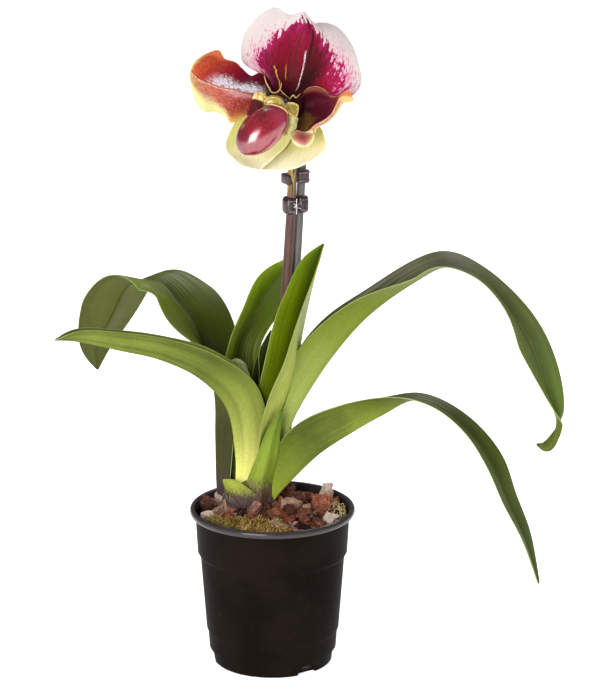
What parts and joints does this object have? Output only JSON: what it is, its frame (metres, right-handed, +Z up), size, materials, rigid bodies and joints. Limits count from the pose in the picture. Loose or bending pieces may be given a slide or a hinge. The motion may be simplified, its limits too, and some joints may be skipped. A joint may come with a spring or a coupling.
{
  "type": "slipper orchid in its pot",
  "caption": "Potted slipper orchid: arching strap leaves and one pouched flower on a staked stem, in a dark plastic pot of bark.",
  "frame": {"origin": "middle of the underside of the pot", "axes": "+Z up along the pot's axis, -Y towards the side that the flower faces, +X to the right seen from there"},
  "size_m": [0.3575, 0.1809, 0.4813],
  "materials": {
    "pot": "near-black moulded plastic with a soft gloss",
    "bark": "rough red-brown fir bark",
    "moss": "fine golden-olive dry moss",
    "plant_foot": "pale green sheaths with purple-brown mottling",
    "light_leaf": "satin yellow-green leaf",
    "dark_leaf": "satin dark green leaf",
    "flower_stem": "finely downy maroon stem",
    "bract": "thin green bract",
    "ovary": "downy green ovary, glossy yellow shield",
    "dorsal_sepal": "waxy warm white with a burgundy centre",
    "petal": "waxy dark red with an orange and yellow margin",
    "synsepal": "waxy pale yellow-green",
    "pouch": "very glossy veined burgundy, yellow at the mouth",
    "stake": "grey stake",
    "clip": "dark brown moulded plastic"
  },
  "bodies": {
    "root": {"pot": "pot", "potting_mix": "bark", "moss": "moss", "crown": "plant_foot", "sheath_front": "light_leaf", "sheath_left": "light_leaf", "leaf_left_front": "light_leaf", "leaf_left_back": "dark_leaf", "leaf_centre": "light_leaf", "leaf_centre_back": "dark_leaf", "leaf_right_high": "light_leaf", "leaf_right_low": "light_leaf", "leaf_inner_small": "light_leaf", "leaf_inner_dark": "dark_leaf", "scape": "flower_stem", "bract": "bract", "ovary_and_column": "ovary", "dorsal_sepal": "dorsal_sepal", "petal_left": "petal", "petal_right": "petal", "synsepal": "synsepal", "pouch": "pouch", "stake": "stake", "clip_lower": "clip", "clip_upper": "clip"}
  },
  "joints": []
}
